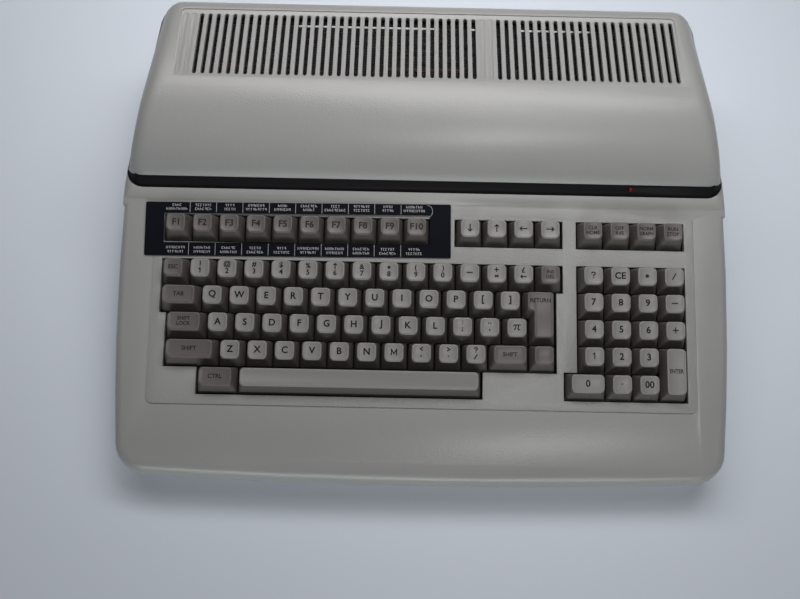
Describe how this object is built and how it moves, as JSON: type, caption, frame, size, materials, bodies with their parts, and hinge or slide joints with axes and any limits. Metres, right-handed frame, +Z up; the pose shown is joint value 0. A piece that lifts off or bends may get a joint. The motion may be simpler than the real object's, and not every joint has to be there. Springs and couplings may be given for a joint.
{
  "type": "home computer",
  "caption": "Low desktop home computer with a sloping built-in keyboard, a dark band with a lamp, and a vented hood behind it; keys, power rocker and reset button move.",
  "frame": {"origin": "on the table, under the middle of the case's outline", "axes": "+X to the user's right along the case, +Y to the rear panel, +Z up"},
  "size_m": [0.44, 0.3454, 0.0936],
  "materials": {
    "case_plastic": "fine moulded texture",
    "black_plastic": "satin",
    "lamp_plastic": "clear tinted",
    "card_plastic": "printed sheet",
    "light_key_plastic": "fine grain",
    "grey_key_plastic": "fine grain",
    "steel": "plated sheet",
    "screen_steel": "black painted sheet",
    "core_steel": "varnished laminations",
    "circuit_board": "solder resist",
    "ribbon_plastic": "flexible cable",
    "capacitor_sleeve": "sleeve",
    "aluminium": "extruded",
    "rocker_plastic": "moulded",
    "button_plastic": "moulded",
    "foot_rubber": "soft"
  },
  "bodies": {
    "case": {"top_case": "case_plastic", "bottom_case": "case_plastic", "band_trim": "black_plastic", "power_lamp": "lamp_plastic", "lamp_holder": "black_plastic", "key_card": "card_plastic", "vent_screen": "screen_steel", "key_plate": "steel", "key_circuit": "circuit_board", "key_switches": "black_plastic", "key_ribbon": "ribbon_plastic", "main_board": "circuit_board", "board_chips": "black_plastic", "board_capacitors": "capacitor_sleeve", "heat_sink": "aluminium", "power_transformer": "core_steel", "mains_inlet": "black_plastic", "fuse_holder": "black_plastic", "switch_housing": "black_plastic", "reset_switch": "black_plastic", "video_socket": "steel", "audio_jack": "black_plastic", "serial_port": "steel", "jack_posts": "steel", "expansion_port": "black_plastic", "feet": "foot_rubber", "case_screws": "steel", "plate_screws": "steel", "board_screws": "steel"},
    "rocker": {"power_rocker": "rocker_plastic"},
    "reset": {"reset_button": "button_plastic"},
    "left_function_body": {"left_function_keys": "grey_key_plastic"},
    "right_function_body": {"right_function_keys": "grey_key_plastic"},
    "arrow_body": {"arrow_keys": "light_key_plastic"},
    "edit_body": {"edit_keys": "grey_key_plastic"},
    "left_number_body": {"left_number_keys": "light_key_plastic"},
    "right_number_body": {"right_number_keys": "light_key_plastic"},
    "left_upper_letters_body": {"left_upper_letters": "light_key_plastic"},
    "right_upper_letters_body": {"right_upper_letters": "light_key_plastic"},
    "left_home_letters_body": {"left_home_letters": "light_key_plastic"},
    "right_home_letters_body": {"right_home_letters": "light_key_plastic"},
    "left_lower_letters_body": {"left_lower_letters": "light_key_plastic"},
    "right_lower_letters_body": {"right_lower_letters": "light_key_plastic"},
    "pad_upper_body": {"pad_upper_keys": "light_key_plastic"},
    "pad_lower_body": {"pad_lower_keys": "light_key_plastic"},
    "space_bar_body": {"space_bar": "grey_key_plastic"},
    "return_body": {"return_key": "grey_key_plastic"},
    "left_shift_body": {"left_shift_key": "grey_key_plastic"},
    "right_shift_body": {"right_shift_key": "grey_key_plastic"},
    "shift_lock_body": {"shift_lock_key": "grey_key_plastic"},
    "tab_body": {"tab_key": "grey_key_plastic"},
    "control_body": {"control_key": "grey_key_plastic"},
    "escape_body": {"escape_key": "grey_key_plastic"},
    "insert_body": {"insert_key": "grey_key_plastic"},
    "system_body": {"system_key": "grey_key_plastic"},
    "enter_body": {"enter_key": "grey_key_plastic"},
    "zero_body": {"zero_key": "light_key_plastic"}
  },
  "joints": [
    {"name": "left_function_keys_press", "type": "slide", "parent": "case", "child": "left_function_body", "axis": [0, 0.1392, -0.9903], "range_m": [0, 0.0038], "stiffness_N_per_m": 500, "springref_m": -0.0025},
    {"name": "right_function_keys_press", "type": "slide", "parent": "case", "child": "right_function_body", "axis": [0, 0.1392, -0.9903], "range_m": [0, 0.0038], "stiffness_N_per_m": 500, "springref_m": -0.0025},
    {"name": "arrow_keys_press", "type": "slide", "parent": "case", "child": "arrow_body", "axis": [0, 0.1392, -0.9903], "range_m": [0, 0.0038], "stiffness_N_per_m": 400, "springref_m": -0.0025},
    {"name": "edit_keys_press", "type": "slide", "parent": "case", "child": "edit_body", "axis": [0, 0.1392, -0.9903], "range_m": [0, 0.0038], "stiffness_N_per_m": 400, "springref_m": -0.0025},
    {"name": "left_number_keys_press", "type": "slide", "parent": "case", "child": "left_number_body", "axis": [0, 0.1392, -0.9903], "range_m": [0, 0.0038], "stiffness_N_per_m": 600, "springref_m": -0.0025},
    {"name": "right_number_keys_press", "type": "slide", "parent": "case", "child": "right_number_body", "axis": [0, 0.1392, -0.9903], "range_m": [0, 0.0038], "stiffness_N_per_m": 700, "springref_m": -0.0025},
    {"name": "left_upper_letters_press", "type": "slide", "parent": "case", "child": "left_upper_letters_body", "axis": [0, 0.1392, -0.9903], "range_m": [0, 0.0038], "stiffness_N_per_m": 600, "springref_m": -0.0025},
    {"name": "right_upper_letters_press", "type": "slide", "parent": "case", "child": "right_upper_letters_body", "axis": [0, 0.1392, -0.9903], "range_m": [0, 0.0038], "stiffness_N_per_m": 600, "springref_m": -0.0025},
    {"name": "left_home_letters_press", "type": "slide", "parent": "case", "child": "left_home_letters_body", "axis": [0, 0.1392, -0.9903], "range_m": [0, 0.0038], "stiffness_N_per_m": 600, "springref_m": -0.0025},
    {"name": "right_home_letters_press", "type": "slide", "parent": "case", "child": "right_home_letters_body", "axis": [0, 0.1392, -0.9903], "range_m": [0, 0.0038], "stiffness_N_per_m": 600, "springref_m": -0.0025},
    {"name": "left_lower_letters_press", "type": "slide", "parent": "case", "child": "left_lower_letters_body", "axis": [0, 0.1392, -0.9903], "range_m": [0, 0.0038], "stiffness_N_per_m": 500, "springref_m": -0.0025},
    {"name": "right_lower_letters_press", "type": "slide", "parent": "case", "child": "right_lower_letters_body", "axis": [0, 0.1392, -0.9903], "range_m": [0, 0.0038], "stiffness_N_per_m": 500, "springref_m": -0.0025},
    {"name": "pad_upper_keys_press", "type": "slide", "parent": "case", "child": "pad_upper_body", "axis": [0, 0.1392, -0.9903], "range_m": [0, 0.0038], "stiffness_N_per_m": 800, "springref_m": -0.0025},
    {"name": "pad_lower_keys_press", "type": "slide", "parent": "case", "child": "pad_lower_body", "axis": [0, 0.1392, -0.9903], "range_m": [0, 0.0038], "stiffness_N_per_m": 900, "springref_m": -0.0025},
    {"name": "space_bar_press", "type": "slide", "parent": "case", "child": "space_bar_body", "axis": [0, 0.1392, -0.9903], "range_m": [0, 0.0038], "stiffness_N_per_m": 160, "springref_m": -0.0025},
    {"name": "return_key_press", "type": "slide", "parent": "case", "child": "return_body", "axis": [0, 0.1392, -0.9903], "range_m": [0, 0.0038], "stiffness_N_per_m": 100, "springref_m": -0.0025},
    {"name": "left_shift_key_press", "type": "slide", "parent": "case", "child": "left_shift_body", "axis": [0, 0.1392, -0.9903], "range_m": [0, 0.0038], "stiffness_N_per_m": 100, "springref_m": -0.0025},
    {"name": "right_shift_key_press", "type": "slide", "parent": "case", "child": "right_shift_body", "axis": [0, 0.1392, -0.9903], "range_m": [0, 0.0038], "stiffness_N_per_m": 100, "springref_m": -0.0025},
    {"name": "shift_lock_key_press", "type": "slide", "parent": "case", "child": "shift_lock_body", "axis": [0, 0.1392, -0.9903], "range_m": [0, 0.0038], "stiffness_N_per_m": 100, "springref_m": -0.0025},
    {"name": "tab_key_press", "type": "slide", "parent": "case", "child": "tab_body", "axis": [0, 0.1392, -0.9903], "range_m": [0, 0.0038], "stiffness_N_per_m": 100, "springref_m": -0.0025},
    {"name": "control_key_press", "type": "slide", "parent": "case", "child": "control_body", "axis": [0, 0.1392, -0.9903], "range_m": [0, 0.0038], "stiffness_N_per_m": 100, "springref_m": -0.0025},
    {"name": "escape_key_press", "type": "slide", "parent": "case", "child": "escape_body", "axis": [0, 0.1392, -0.9903], "range_m": [0, 0.0038], "stiffness_N_per_m": 100, "springref_m": -0.0025},
    {"name": "insert_key_press", "type": "slide", "parent": "case", "child": "insert_body", "axis": [0, 0.1392, -0.9903], "range_m": [0, 0.0038], "stiffness_N_per_m": 100, "springref_m": -0.0025},
    {"name": "system_key_press", "type": "slide", "parent": "case", "child": "system_body", "axis": [0, 0.1392, -0.9903], "range_m": [0, 0.0038], "stiffness_N_per_m": 100, "springref_m": -0.0025},
    {"name": "enter_key_press", "type": "slide", "parent": "case", "child": "enter_body", "axis": [0, 0.1392, -0.9903], "range_m": [0, 0.0038], "stiffness_N_per_m": 100, "springref_m": -0.0025},
    {"name": "zero_key_press", "type": "slide", "parent": "case", "child": "zero_body", "axis": [0, 0.1392, -0.9903], "range_m": [0, 0.0038], "stiffness_N_per_m": 100, "springref_m": -0.0025},
    {"name": "power_rocker_tilt", "type": "hinge", "parent": "case", "child": "rocker", "pos_m": [0.09, 0.16775, 0.032], "axis": [1, 0, 0], "range_deg": [0, 16]},
    {"name": "reset_button_press", "type": "slide", "parent": "case", "child": "reset", "axis": [0, -1, 0], "range_m": [0, 0.0015], "stiffness_N_per_m": 300, "springref_m": -0.001}
  ]
}
